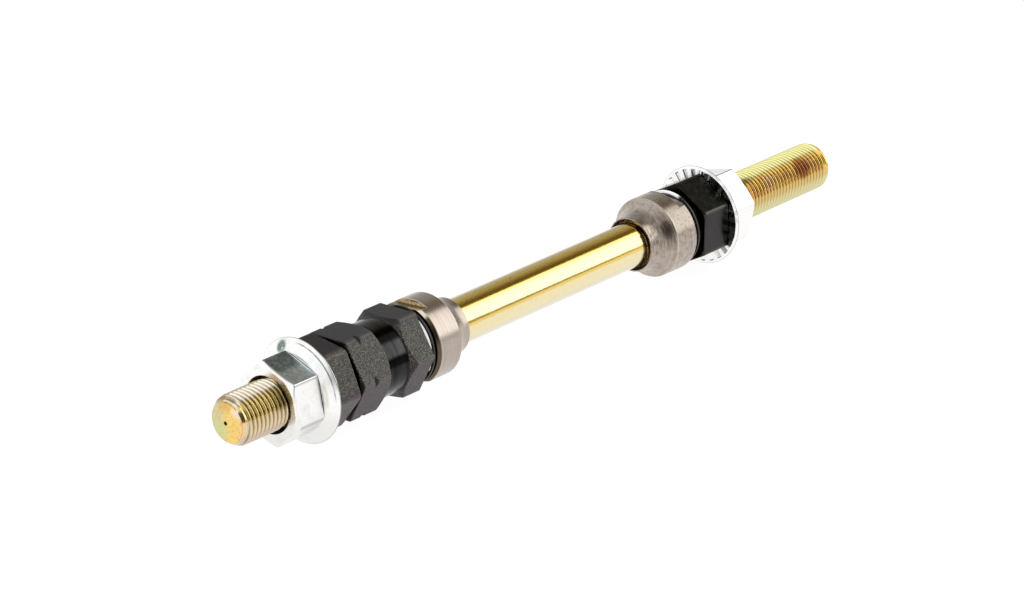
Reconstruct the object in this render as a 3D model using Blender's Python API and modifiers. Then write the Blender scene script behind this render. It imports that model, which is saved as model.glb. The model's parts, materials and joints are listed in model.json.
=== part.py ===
# Rear hub axle set of a bicycle, lying along X, in metres with +Z up.
# The drive side, with its long double-hex spacer, is at -X and is called right.
# The origin is on the axle's centre line, half way along the axle.
import math

import bmesh
import bpy
from mathutils import Matrix

MM = 0.001

# Axle, in millimetres: a 3/8 inch thread of 26 to the inch at each end of a plain blank
THREAD_D = 9.5
BLANK_D = 8.7
END_FACE_D = 7.3
END_BEVEL = 1.5
THREAD_RUNOUT = 0.6
CENTRE_DRILL_D = 1.0
CENTRE_DRILL_DEPTH = 0.7

# Width between the faces that the frame's dropouts touch, and the ends beyond them
OVER_LOCKNUTS = 110.0
RIGHT_STICKOUT = 18.7
LEFT_STICKOUT = 36.3

# Clearances
SEAT_GAP = 0.1
THREAD_CLEARANCE = 0.1
COLLAR_CLEARANCE = 0.15
SWIVEL_GAP = 0.1

# Axle nut, a hexagon with a collar that is rolled over inside its washer
NUT_AF = 14.0
NUT_HEX_HEIGHT = 6.4
NUT_BEVEL_D = 13.8
NUT_BEVEL_ANGLE = 30.0
NUT_BASE_BEVEL = 0.33
NUT_MOUTH_D = 10.7
NUT_MOUTH_ROOT_D = 10.2
NUT_MOUTH_DEPTH = 1.3
COLLAR_D = 11.2
LIP_D = 12.6
LIP_THICKNESS = 0.4
LIP_RECESS = 1.1

# Captive washer of the axle nut, conical outside and serrated towards the frame
WASHER_D = 19.7
WASHER_THICKNESS = 2.0
WASHER_TOP_D = 15.2
WASHER_SHOULDER_D = 18.3
WASHER_SHOULDER_HEIGHT = 0.95
WASHER_RIM_HEIGHT = 0.4
TOOTH_RING_D = 14.6
TOOTH_OUTER_D = 18.5
TOOTH_RECESS = 0.55
TOOTH_COUNT = 26
TOOTH_DEPTH = 0.42
TOOTH_RAMP = 1.15
TOOTH_WALL = 0.2
TOOTH_OFFSET = 2.0

# Black hexagon pieces
LOCKNUT_AF = 15.0
RIGHT_LOCKNUT_HEX = 6.2
LEFT_LOCKNUT_HEX = 7.1
BOSS_D = 13.0
RIGHT_BOSS_LENGTH = 0.7
LEFT_BOSS_LENGTH = 1.35
LOCKNUT_BEVEL_D = 16.2
SPACER_OUTER_HEX = 7.6
SPACER_WAIST_LENGTH = 5.2
SPACER_INNER_HEX = 5.25
SPACER_BOSS_LENGTH = 0.75
SPACER_WAIST_D = 14.4
SPACER_BEVEL_ANGLE = 39.0
GROOVE_OFFSET = 3.1
GROOVE_D = 16.2

# Cones and the plain washers behind them
CONE_D = 15.8
CONE_LENGTH = 10.95
CONE_RACE_LENGTH = 4.9
CONE_SMALL_D = 10.7
CONE_LIP_LENGTH = 0.3
CONE_EDGE = 0.25
CONE_OUTER_EDGE = 0.5
CONE_LIP_EDGE = 0.1
CONE_RACE_RADIUS = 5.5
CONE_MOUTH_D = 10.2
CONE_MOUTH_DEPTH = 1.6
THREAD_PAST_CONE = 0.3
CONE_FLATS = 13.6
CONE_FLAT_LENGTH = 2.1
PLAIN_WASHER_D = 15.0
PLAIN_WASHER_THICKNESS = 0.9
WASHER_STEP_D = 14.0
WASHER_STEP = 0.45
PLAIN_WASHER_EDGE = 0.12

# How far each piece is turned on the axle, in degrees, as they happened to be tightened
RIGHT_NUT_TURN = -18.7
RIGHT_LOCKNUT_TURN = -5.1
RIGHT_SPACER_TURN = 3.2
RIGHT_CONE_TURN = 6.7
LEFT_CONE_TURN = 5.3
LEFT_LOCKNUT_TURN = 30.3
LEFT_NUT_TURN = -15.7
LEFT_WASHER_TURN = 0.6

# Facets round a turned piece, and along the ball race
AXLE_STEPS = 56
PIECE_STEPS = 58
STEPS_PER_TOOTH = 2
RACE_STEPS = 6

# How far a bar or a cutter stands past what it cuts
OVERCUT = 1.0

# Derived lengths and places along the axle
AXLE_LENGTH = RIGHT_STICKOUT + OVER_LOCKNUTS + LEFT_STICKOUT
RIGHT_END = -AXLE_LENGTH / 2
RIGHT_DROPOUT_FACE = RIGHT_END + RIGHT_STICKOUT
LEFT_DROPOUT_FACE = RIGHT_DROPOUT_FACE + OVER_LOCKNUTS
THREAD_BORE_D = THREAD_D + 2 * THREAD_CLEARANCE
COLLAR_REACH = WASHER_THICKNESS + SWIVEL_GAP
NUT_HEIGHT = COLLAR_REACH + NUT_HEX_HEIGHT
SPACER_LENGTH = SPACER_OUTER_HEX + SPACER_WAIST_LENGTH + SPACER_INNER_HEX + SPACER_BOSS_LENGTH
RIGHT_LOCKNUT_FACE = RIGHT_DROPOUT_FACE + SEAT_GAP
RIGHT_SPACER_FACE = RIGHT_LOCKNUT_FACE + RIGHT_LOCKNUT_HEX + RIGHT_BOSS_LENGTH + SEAT_GAP
RIGHT_WASHER_FACE = RIGHT_SPACER_FACE + SPACER_LENGTH + SEAT_GAP
RIGHT_CONE_FACE = RIGHT_WASHER_FACE + PLAIN_WASHER_THICKNESS + SEAT_GAP
LEFT_LOCKNUT_FACE = LEFT_DROPOUT_FACE - SEAT_GAP
LEFT_WASHER_FACE = LEFT_LOCKNUT_FACE - LEFT_LOCKNUT_HEX - LEFT_BOSS_LENGTH - SEAT_GAP
LEFT_CONE_FACE = LEFT_WASHER_FACE - PLAIN_WASHER_THICKNESS - SEAT_GAP
RIGHT_THREAD_END = RIGHT_CONE_FACE + CONE_LENGTH + THREAD_PAST_CONE
LEFT_THREAD_END = LEFT_CONE_FACE - CONE_LENGTH - THREAD_PAST_CONE

# Which way a piece's own Z axis, its outward direction, points along the axle
RIGHT = -1
LEFT = 1


def remove_everything():
    for obj in list(bpy.data.objects):
        bpy.data.objects.remove(obj, do_unlink=True)


def new_collection(name):
    collection = bpy.data.collections.new(name)
    bpy.context.scene.collection.children.link(collection)
    return collection


def finish(name, colour, roughness):
    """A metal finish: a Principled material with one colour and one roughness."""
    material = bpy.data.materials.new(name)
    material.use_nodes = True
    shader = material.node_tree.nodes["Principled BSDF"]
    shader.inputs["Base Color"].default_value = (*colour, 1.0)
    shader.inputs["Metallic"].default_value = 1.0
    shader.inputs["Roughness"].default_value = roughness
    material.diffuse_color = (*colour, 1.0)
    return material


def turned(name, outline, steps, closed=True):
    """A piece turned about its own Z axis from (diameter, height) points in millimetres.

    The outline runs down the piece's outer side, so that its faces point outwards.
    """
    mesh = bpy.data.meshes.new(name)
    points = [(d / 2 * MM, 0.0, z * MM) for d, z in outline]
    edges = [(i, i + 1) for i in range(len(points) - 1)]
    if closed:
        edges.append((len(points) - 1, 0))
    mesh.from_pydata(points, edges, [])
    obj = bpy.data.objects.new(name, mesh)
    screw = obj.modifiers.new("turn", "SCREW")
    screw.axis = "Z"
    screw.steps = steps
    screw.render_steps = steps
    screw.use_merge_vertices = True
    screw.merge_threshold = 0.000001
    screw.use_smooth_shade = False
    if not closed:
        weld = obj.modifiers.new("close the ends", "WELD")
        weld.merge_threshold = 0.000001
    return obj


def cutter_from(bm, name, cutters, piece):
    """A hidden cutting body that belongs to one piece and turns with it."""
    mesh = bpy.data.meshes.new(name)
    bm.to_mesh(mesh)
    bm.free()
    obj = bpy.data.objects.new(name, mesh)
    obj.hide_render = True
    obj.display_type = "WIRE"
    obj.parent = piece
    cutters.objects.link(obj)
    return obj


def cut(piece, cutter, operation):
    boolean = piece.modifiers.new(cutter.name, "BOOLEAN")
    boolean.operation = operation
    boolean.solver = "EXACT"
    boolean.object = cutter


def mill_hexagon(piece, across_flats, low, high, cutters):
    """Leave of a turned piece only what lies inside a hexagon bar."""
    bm = bmesh.new()
    corner = across_flats / math.sqrt(3) * MM
    bmesh.ops.create_cone(bm, cap_ends=True, segments=6, radius1=corner, radius2=corner,
                          depth=(high - low) * MM)
    bmesh.ops.translate(bm, verts=bm.verts, vec=(0, 0, (high + low) / 2 * MM))
    cut(piece, cutter_from(bm, piece.name + ".hexagon", cutters, piece), "INTERSECT")


def mill_flats(piece, across, low, high, diameter, cutters):
    """Cut two parallel spanner flats across a round piece, between two heights."""
    bm = bmesh.new()
    depth = diameter / 2
    for side in (-1, 1):
        block = bmesh.ops.create_cube(bm, size=1.0)["verts"]
        bmesh.ops.scale(bm, verts=block, vec=(depth * MM, 2 * diameter * MM, (high - low) * MM))
        shift = side * (across + depth) / 2
        bmesh.ops.translate(bm, verts=block, vec=(shift * MM, 0, (high + low) / 2 * MM))
    cut(piece, cutter_from(bm, piece.name + ".flats", cutters, piece), "DIFFERENCE")


def mill_teeth(piece, cutters):
    """Cut radial saw-tooth grooves, steep on one side, into the face inside its plain rim."""
    bm = bmesh.new()
    inner = TOOTH_RING_D / 2 - OVERCUT / 2
    outer = TOOTH_OUTER_D / 2
    grow = (TOOTH_DEPTH + OVERCUT) / TOOTH_DEPTH
    section = [(-TOOTH_WALL * grow, -OVERCUT), (0.0, TOOTH_DEPTH), (TOOTH_RAMP * grow, -OVERCUT)]
    for tooth in range(TOOTH_COUNT):
        corners = [bm.verts.new((inner * MM, y * MM, z * MM)) for y, z in section]
        face = bm.faces.new(corners)
        pushed = bmesh.ops.extrude_face_region(bm, geom=[face])["geom"]
        far_end = [v for v in pushed if isinstance(v, bmesh.types.BMVert)]
        bmesh.ops.translate(bm, verts=far_end, vec=((outer - inner) * MM, 0, 0))
        angle = math.radians(TOOTH_OFFSET) + 2 * math.pi * tooth / TOOTH_COUNT
        turn = Matrix.Rotation(angle, 4, "Z")
        bmesh.ops.transform(bm, matrix=turn, verts=corners + far_end)
    bmesh.ops.recalc_face_normals(bm, faces=bm.faces)
    cut(piece, cutter_from(bm, piece.name + ".teeth", cutters, piece), "DIFFERENCE")


def add(piece, parts, material, side, x, turn=0.0):
    """Put a piece on the axle: its Z axis points outwards from the hub on that side."""
    piece.data.materials.append(material)
    piece.location = (x * MM, 0, 0)
    piece.rotation_mode = "ZYX"
    piece.rotation_euler = (0, side * math.pi / 2, math.radians(turn))
    parts.objects.link(piece)


def corners_d(across_flats):
    """The diameter over a hexagon's corners."""
    return across_flats * 2 / math.sqrt(3)


def bar_d(across_flats):
    """The diameter of a round bar that a hexagon's corners stay inside of."""
    return corners_d(across_flats) + OVERCUT


def bevel_drop(from_d, to_d, angle):
    """How far a bevel cone runs along the axis between two diameters."""
    return (to_d - from_d) / 2 * math.tan(math.radians(angle))


def race_arc():
    """Points of the hollow ball race, from the cone's full diameter to its small end."""
    top = (CONE_D / 2 - CONE_EDGE, CONE_RACE_LENGTH)
    foot = (CONE_SMALL_D / 2, CONE_LIP_LENGTH)
    chord = (top[0] - foot[0], top[1] - foot[1])
    length = math.hypot(*chord)
    rise = math.sqrt(CONE_RACE_RADIUS ** 2 - (length / 2) ** 2)
    centre = ((top[0] + foot[0]) / 2 + rise * chord[1] / length,
              (top[1] + foot[1]) / 2 - rise * chord[0] / length)
    start = math.atan2(top[1] - centre[1], top[0] - centre[0])
    end = math.atan2(foot[1] - centre[1], foot[0] - centre[0]) % (2 * math.pi)
    points = []
    for step in range(RACE_STEPS + 1):
        angle = start + (end - start) * step / RACE_STEPS
        radius = centre[0] + CONE_RACE_RADIUS * math.cos(angle)
        points.append((2 * radius, centre[1] + CONE_RACE_RADIUS * math.sin(angle)))
    return points


def make_axle(parts, gold):
    half = AXLE_LENGTH / 2
    outline = [
        (0.0, half - CENTRE_DRILL_DEPTH),
        (CENTRE_DRILL_D, half),
        (END_FACE_D, half),
        (THREAD_D, half - END_BEVEL),
        (THREAD_D, LEFT_THREAD_END),
        (BLANK_D, LEFT_THREAD_END - THREAD_RUNOUT),
        (BLANK_D, RIGHT_THREAD_END + THREAD_RUNOUT),
        (THREAD_D, RIGHT_THREAD_END),
        (THREAD_D, END_BEVEL - half),
        (END_FACE_D, -half),
        (CENTRE_DRILL_D, -half),
        (0.0, CENTRE_DRILL_DEPTH - half),
    ]
    add(turned("axle", outline, AXLE_STEPS, closed=False), parts, gold, LEFT, 0.0)


def make_axle_nut(name, side, x, turn, parts, cutters, zinc):
    """Hexagon nut whose collar reaches through its washer and is rolled over inside it."""
    bar = bar_d(NUT_AF)
    base_d = corners_d(NUT_AF) - 2 * NUT_BASE_BEVEL
    lip_top = LIP_RECESS - SEAT_GAP
    lip_foot = lip_top - LIP_THICKNESS
    mouth_root = NUT_HEIGHT - NUT_MOUTH_DEPTH
    outline = [
        (NUT_MOUTH_D, NUT_HEIGHT),
        (NUT_BEVEL_D, NUT_HEIGHT),
        (bar, NUT_HEIGHT - bevel_drop(NUT_BEVEL_D, bar, NUT_BEVEL_ANGLE)),
        (bar, COLLAR_REACH + bevel_drop(base_d, bar, NUT_BEVEL_ANGLE)),
        (base_d, COLLAR_REACH),
        (COLLAR_D, COLLAR_REACH),
        (COLLAR_D, lip_top),
        (LIP_D, lip_top),
        (LIP_D, lip_foot),
        (THREAD_BORE_D, lip_foot),
        (THREAD_BORE_D, mouth_root - (NUT_MOUTH_ROOT_D - THREAD_BORE_D) / 2),
        (NUT_MOUTH_ROOT_D, mouth_root),
    ]
    nut = turned(name, outline, PIECE_STEPS)
    mill_hexagon(nut, NUT_AF, -OVERCUT, NUT_HEIGHT + OVERCUT, cutters)
    add(nut, parts, zinc, side, x, turn)


def make_nut_washer(name, side, x, turn, parts, cutters, zinc):
    """Conical washer that swivels on the nut's collar, with saw teeth towards the frame."""
    bore = COLLAR_D + 2 * COLLAR_CLEARANCE
    recess = LIP_D + 2 * COLLAR_CLEARANCE
    outline = [
        (bore, WASHER_THICKNESS),
        (WASHER_TOP_D, WASHER_THICKNESS),
        (WASHER_SHOULDER_D, WASHER_SHOULDER_HEIGHT),
        (WASHER_D, WASHER_RIM_HEIGHT),
        (WASHER_D, 0.0),
        (TOOTH_RING_D, 0.0),
        (TOOTH_RING_D, TOOTH_RECESS),
        (recess, TOOTH_RECESS),
        (recess, LIP_RECESS),
        (bore, LIP_RECESS),
    ]
    washer = turned(name, outline, TOOTH_COUNT * STEPS_PER_TOOTH)
    mill_teeth(washer, cutters)
    add(washer, parts, zinc, side, x, turn)


def make_locknut(name, side, x, turn, hexagon, boss, parts, cutters, black):
    """Hexagon locknut with a turned boss towards the cone; x is its outer face."""
    bar = bar_d(LOCKNUT_AF)
    height = boss + hexagon
    drop = bevel_drop(LOCKNUT_BEVEL_D, bar, NUT_BEVEL_ANGLE)
    outline = [
        (THREAD_BORE_D, 0.0),
        (LOCKNUT_BEVEL_D, 0.0),
        (bar, -drop),
        (bar, drop - hexagon),
        (LOCKNUT_BEVEL_D, -hexagon),
        (BOSS_D, -hexagon),
        (BOSS_D, -height),
        (THREAD_BORE_D, -height),
    ]
    locknut = turned(name, outline, PIECE_STEPS)
    mill_hexagon(locknut, LOCKNUT_AF, -height - OVERCUT, OVERCUT, cutters)
    add(locknut, parts, black, side, x, turn)


def make_spacer(parts, cutters, black):
    """Double hexagon turned from one bar, with a round waist, a V groove and a boss."""
    bar = bar_d(LOCKNUT_AF)
    waist_top = -SPACER_OUTER_HEX
    waist_foot = waist_top - SPACER_WAIST_LENGTH
    hex_foot = waist_foot - SPACER_INNER_HEX
    groove_half = (bar - GROOVE_D) / 2
    bevel = bevel_drop(LOCKNUT_AF, bar, SPACER_BEVEL_ANGLE)
    root = bevel_drop(SPACER_WAIST_D, LOCKNUT_AF, SPACER_BEVEL_ANGLE)
    outline = [
        (THREAD_BORE_D, 0.0),
        (bar, 0.0),
        (bar, groove_half - GROOVE_OFFSET),
        (GROOVE_D, -GROOVE_OFFSET),
        (bar, -groove_half - GROOVE_OFFSET),
        (bar, waist_top + bevel),
        (SPACER_WAIST_D, waist_top - root),
        (SPACER_WAIST_D, waist_foot + root),
        (bar, waist_foot - bevel),
        (bar, hex_foot),
        (BOSS_D, hex_foot),
        (BOSS_D, -SPACER_LENGTH),
        (THREAD_BORE_D, -SPACER_LENGTH),
    ]
    spacer = turned("right_spacer", outline, PIECE_STEPS)
    mill_hexagon(spacer, LOCKNUT_AF, -SPACER_LENGTH - OVERCUT, OVERCUT, cutters)
    add(spacer, parts, black, RIGHT, RIGHT_SPACER_FACE, RIGHT_SPACER_TURN)


def make_plain_washer(name, side, x, parts, zinc):
    """Washer with a smaller shoulder towards the cone."""
    edge = PLAIN_WASHER_EDGE
    outline = [
        (THREAD_BORE_D, 0.0),
        (PLAIN_WASHER_D - 2 * edge, 0.0),
        (PLAIN_WASHER_D, -edge),
        (PLAIN_WASHER_D, edge - WASHER_STEP),
        (PLAIN_WASHER_D - 2 * edge, -WASHER_STEP),
        (WASHER_STEP_D, -WASHER_STEP),
        (WASHER_STEP_D, -PLAIN_WASHER_THICKNESS),
        (THREAD_BORE_D, -PLAIN_WASHER_THICKNESS),
    ]
    add(turned(name, outline, PIECE_STEPS), parts, zinc, side, x)


def make_cone(name, side, x, turn, parts, cutters, steel):
    """Bearing cone: a hollow ball race at the small end, two spanner flats at the other."""
    lip_d = CONE_SMALL_D - 2 * CONE_LIP_EDGE
    mouth_root = CONE_MOUTH_DEPTH + (CONE_MOUTH_D - THREAD_BORE_D) / 2
    outline = [
        (THREAD_BORE_D, CONE_LENGTH),
        (CONE_D - 2 * CONE_OUTER_EDGE, CONE_LENGTH),
        (CONE_D, CONE_LENGTH - CONE_OUTER_EDGE),
        (CONE_D, CONE_RACE_LENGTH + CONE_EDGE),
    ]
    outline += race_arc()
    outline += [
        (CONE_SMALL_D, CONE_LIP_EDGE),
        (lip_d, 0.0),
        (CONE_MOUTH_D, 0.0),
        (CONE_MOUTH_D, CONE_MOUTH_DEPTH),
        (THREAD_BORE_D, mouth_root),
    ]
    cone = turned(name, outline, PIECE_STEPS)
    mill_flats(cone, CONE_FLATS, CONE_LENGTH - CONE_FLAT_LENGTH, CONE_LENGTH + OVERCUT,
               CONE_D, cutters)
    add(cone, parts, steel, side, x - side * CONE_LENGTH, turn)


def build_axle_set():
    remove_everything()
    parts = new_collection("hub_axle")
    cutters = new_collection("cutters")
    gold = finish("gold_chromate", (0.78, 0.62, 0.27), 0.28)
    zinc = finish("bright_zinc", (0.80, 0.81, 0.83), 0.22)
    black = finish("black_oxide", (0.045, 0.043, 0.042), 0.42)
    steel = finish("ground_steel", (0.56, 0.53, 0.49), 0.33)

    make_axle(parts, gold)
    make_axle_nut("right_nut", RIGHT, RIGHT_DROPOUT_FACE, RIGHT_NUT_TURN, parts, cutters, zinc)
    make_nut_washer("right_nut_washer", RIGHT, RIGHT_DROPOUT_FACE, 0.0, parts, cutters, zinc)
    make_locknut("right_locknut", RIGHT, RIGHT_LOCKNUT_FACE, RIGHT_LOCKNUT_TURN,
                 RIGHT_LOCKNUT_HEX, RIGHT_BOSS_LENGTH, parts, cutters, black)
    make_spacer(parts, cutters, black)
    make_plain_washer("right_cone_washer", RIGHT, RIGHT_WASHER_FACE, parts, zinc)
    make_cone("right_cone", RIGHT, RIGHT_CONE_FACE, RIGHT_CONE_TURN, parts, cutters, steel)
    make_cone("left_cone", LEFT, LEFT_CONE_FACE, LEFT_CONE_TURN, parts, cutters, steel)
    make_plain_washer("left_cone_washer", LEFT, LEFT_WASHER_FACE, parts, zinc)
    make_locknut("left_locknut", LEFT, LEFT_LOCKNUT_FACE, LEFT_LOCKNUT_TURN,
                 LEFT_LOCKNUT_HEX, LEFT_BOSS_LENGTH, parts, cutters, black)
    make_nut_washer("left_nut_washer", LEFT, LEFT_DROPOUT_FACE, LEFT_WASHER_TURN, parts, cutters,
                    zinc)
    make_axle_nut("left_nut", LEFT, LEFT_DROPOUT_FACE, LEFT_NUT_TURN, parts, cutters, zinc)


build_axle_set()
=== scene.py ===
# %% [markdown]
# # A bicycle hub axle, dressed
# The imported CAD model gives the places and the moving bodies. This notebook makes every visible
# surface again as a fine mesh with rounded edges, threads and teeth, and gives it a metal finish.
# All sizes below are in millimetres. X runs along the axle, and the drive side is at -X.

# %% Load the frame
import json
import math
from types import SimpleNamespace

import bmesh
import bpy
import numpy as np
from mathutils import Matrix, Vector


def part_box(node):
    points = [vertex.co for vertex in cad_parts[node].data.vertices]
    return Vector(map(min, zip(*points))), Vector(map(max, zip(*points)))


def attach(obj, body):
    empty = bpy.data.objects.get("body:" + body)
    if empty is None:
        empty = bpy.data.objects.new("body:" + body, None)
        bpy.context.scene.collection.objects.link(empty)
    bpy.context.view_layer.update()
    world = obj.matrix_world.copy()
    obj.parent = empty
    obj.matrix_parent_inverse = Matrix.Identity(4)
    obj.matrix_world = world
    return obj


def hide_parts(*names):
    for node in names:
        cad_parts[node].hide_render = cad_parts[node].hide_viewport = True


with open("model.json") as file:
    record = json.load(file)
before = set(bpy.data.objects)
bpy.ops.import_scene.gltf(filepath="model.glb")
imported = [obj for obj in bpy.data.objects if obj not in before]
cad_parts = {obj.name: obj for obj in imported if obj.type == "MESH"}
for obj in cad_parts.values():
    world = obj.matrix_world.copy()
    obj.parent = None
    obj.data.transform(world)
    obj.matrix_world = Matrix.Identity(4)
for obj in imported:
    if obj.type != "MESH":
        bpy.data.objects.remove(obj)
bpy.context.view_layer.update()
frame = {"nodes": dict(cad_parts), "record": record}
MM = 0.001

# %% [markdown]
# ## Camera
# A long lens looks down at the axle from its near end. The camera stands 0.72 metres away, and its
# lens of 136 mm gives the slight perspective of a product photograph.

# %% Camera
CAMERA_PLACE = (-500.85, -436.03, 279.4)
CAMERA_AIM = (0.689, 0.610, -0.392)
CAMERA_LENS, SENSOR_WIDTH = 136.06, 36.0

camera_data = bpy.data.cameras.new("camera")
camera_data.lens = CAMERA_LENS
camera_data.sensor_width = SENSOR_WIDTH
camera_data.clip_start = 0.01
camera = bpy.data.objects.new("camera", camera_data)
camera.location = Vector(CAMERA_PLACE) * MM
camera.rotation_euler = Vector(CAMERA_AIM).to_track_quat("-Z", "Y").to_euler()
bpy.context.scene.collection.objects.link(camera)
bpy.context.scene.camera = camera
print("camera at", [round(value, 4) for value in camera.location])

# %% [markdown]
# ## Profiles
# Nearly every piece of a hub axle comes off a lathe, so it starts as a profile: radius against
# height along the axle. Real edges are never quite sharp, and it is the light on their small
# roundings that makes metal look real. Most corners of a profile are therefore rounded, and the
# points crowd towards the corners, where the surface bends.

# %% Rounded profiles
CORNER_POINTS = 6


def profile(corners):
    """Radius and height of a ring's closed profile, as columns of points, through its corners.

    Each corner is (radius, height, rounding, steps to the next corner). A corner P becomes the
    parabola (1-s)^2 A + 2s(1-s) P + s^2 B, where A and B lie the rounding away from P on its two
    sides. The side after it is cut at (1 - cos(pi s)) / 2. In both, s runs from 0 to 1.
    """
    places = np.array([corner[:2] for corner in corners], float)
    before = np.roll(places, 1, axis=0) - places
    after = np.roll(places, -1, axis=0) - places
    before /= np.linalg.norm(before, axis=1, keepdims=True)
    after /= np.linalg.norm(after, axis=1, keepdims=True)
    rounding = np.array([corner[2] for corner in corners], float)[:, None]
    start = places + before * rounding
    end = places + after * rounding
    pieces = []
    for index, (_, _, size, steps) in enumerate(corners):
        if size:
            s = np.linspace(0, 1, CORNER_POINTS)[:, None]
            pieces.append((1 - s) ** 2 * start[index] + 2 * s * (1 - s) * places[index]
                          + s * s * end[index])
        else:
            pieces.append(places[index:index + 1])
        s = (1 - np.cos(np.pi * np.arange(1, steps) / steps))[:, None] / 2
        following = start[(index + 1) % len(corners)]
        pieces.append(end[index] + (following - end[index]) * s)
    line = np.concatenate(pieces)
    return line[:, :1], line[:, 1:]


def smooth_min(a, b, width):
    """The smaller of a and b, with the crease rounded: min(a, b) - width/4 max(1 - |a-b|/width, 0)^2."""
    return np.minimum(a, b) - width / 4 * np.clip(1 - np.abs(a - b) / width, 0, None) ** 2


# %% [markdown]
# ## From grids to meshes
# A surface of two parameters is a grid of points. Its columns go round the axle and its rows
# follow the profile. A ring closes on itself both ways, so it has no seam and no poles. Which way
# the faces point follows from the signed volume: when it is negative, every face is turned over.

# %% Grids to meshes
WELD_DISTANCE = 1e-7


def turn_angles(columns):
    """A row of equal steps round the axle: angle = 2 pi j / columns."""
    return 2 * np.pi * np.arange(columns)[None, :] / columns


def grid_faces(rows, columns, rows_close, shift):
    """Corner indices of the quads (i, j), (i + 1, j), (i + 1, j + 1), (i, j + 1) of a grid.

    The columns always close: the last one meets the first one `shift` rows further on.
    """
    i = np.arange(rows if rows_close else rows - 1)[:, None]
    j = np.arange(columns)[None, :]
    next_j = (j + 1) % columns
    step = np.where(next_j == 0, shift, 0)

    def point(row, column):
        row = row % rows if rows_close else np.minimum(row, rows - 1)
        return np.broadcast_to(row * columns + column, (i.size, columns))

    corners = point(i, j), point(i + 1, j), point(i + 1 + step, next_j), point(i + step, next_j)
    return np.stack(corners, axis=-1).reshape(-1, 4)


def weld(mesh):
    """Merges the points that blocks and poles share, so that the surface is closed."""
    bm = bmesh.new()
    bm.from_mesh(mesh)
    bmesh.ops.remove_doubles(bm, verts=bm.verts, dist=WELD_DISTANCE)
    bm.to_mesh(mesh)
    bm.free()


def make_piece(name, blocks):
    """A mesh from blocks of (x, radius, angle, rows_close, shift).

    A point lies at (x, r cos(angle), r sin(angle)). A quad abcd adds a.(b x c) + a.(c x d) to six
    times the signed volume.
    """
    points, faces, count = [], [], 0
    for x, radius, angle, rows_close, shift in blocks:
        x, radius, angle = np.broadcast_arrays(x, radius, angle)
        grid = np.stack([x, radius * np.cos(angle), radius * np.sin(angle)], axis=-1)
        points.append(grid.reshape(-1, 3) * MM)
        faces.append(grid_faces(*x.shape, rows_close, shift) + count)
        count += x.size
    points, faces = np.concatenate(points), np.concatenate(faces)
    a, b, c, d = (points[faces[:, k]] for k in range(4))
    volume = (np.sum(a * np.cross(b, c)) + np.sum(a * np.cross(c, d))) / 6
    if volume < 0:
        faces = faces[:, ::-1]
    mesh = bpy.data.meshes.new(name)
    mesh.from_pydata(points, [], faces.tolist())
    weld(mesh)
    mesh.shade_smooth()
    piece = bpy.data.objects.new(name, mesh)
    bpy.context.scene.collection.objects.link(piece)
    print(f"{name}: {len(mesh.polygons)} faces, {abs(volume) / MM ** 3:.0f} cubic mm")
    return piece


# %% [markdown]
# ## Which way a piece faces
# Each piece is drawn with its height running outwards from the hub, and its outer face is at
# height 0. On the right side outwards is -X and on the left it is +X. The angle round the axle
# runs from +Y towards +Z.

# %% Sides and places
RIGHT, LEFT = -1, 1
OUTER_FACE = {}
for node in frame["nodes"]:
    low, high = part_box(node)
    OUTER_FACE[node] = (low.x if node.startswith("right") else high.x) / MM
print({node: round(place, 2) for node, place in OUTER_FACE.items()})


def flat_angle(side, turn):
    """Angle of a flat's outward normal, in degrees, for a piece turned that far on the axle."""
    return turn - 90 if side == LEFT else 90 - turn


def make_ring(node, side, radius, height, angle):
    """A closed ring in the node's place: x = outer face + side * height."""
    return make_piece(node + "_dressed", [(OUTER_FACE[node] + side * height, radius, angle, True, 0)])


# %% [markdown]
# ## Hexagons
# A hexagon bar in polar form is r = a / cos(angle from the nearest flat's normal), where a is half
# of the size across flats. Taking the smooth minimum of that and the turned profile mills the
# hexagon out of the round bar, with rounded edges. The columns crowd towards the six corners.

# %% Hexagon pieces
HEX_STEPS = 40
HEX_CORNER, HEX_BLEND, HEX_EDGE = 0.22, 0.12, 0.16
OVERSIZE = 0.5
BEVEL_SLOPE = math.tan(math.radians(30))


def hexagon_radius(angle, flat, across):
    """Polar radius of a hexagon: the smooth minimum of its two nearest sides a / cos(angle)."""
    half = across / 2
    off = np.abs((np.degrees(angle) - flat + 30) % 60 - 30)
    return smooth_min(half / np.cos(np.radians(off)), half / np.cos(np.radians(60 - off)), HEX_CORNER)


def hexagon_columns(flat):
    """Angles round a hexagon that crowd at its corners: -30 cos(pi s) degrees from each normal."""
    local = -30 * np.cos(np.pi * np.arange(HEX_STEPS) / HEX_STEPS)
    return np.radians((flat + local[None, :] + 60 * np.arange(6)[:, None]).ravel())[None, :]


def end_rounding(depth, size):
    """How far a rounding of that size draws the flats in: size - sqrt(size^2 - (size - depth)^2)."""
    depth = np.clip(depth, 0, size)
    return size - np.sqrt(size ** 2 - (size - depth) ** 2)


def hexagon_piece(node, side, turn, across, corners, base, face_edge=HEX_EDGE):
    """A turned ring milled to a hexagon: r = smooth_min(profile, hexagon - end roundings).

    The hexagon reaches from the outer face, with its rounding `face_edge`, down to `base`.
    """
    radius, height = profile(corners)
    flat = flat_angle(side, turn)
    angle = hexagon_columns(flat)
    drawn_in = end_rounding(height - base, HEX_EDGE) + end_rounding(-height, face_edge)
    sides = hexagon_radius(angle, flat, across) - drawn_in
    return make_ring(node, side, smooth_min(radius, sides, HEX_BLEND), height, angle)


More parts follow.
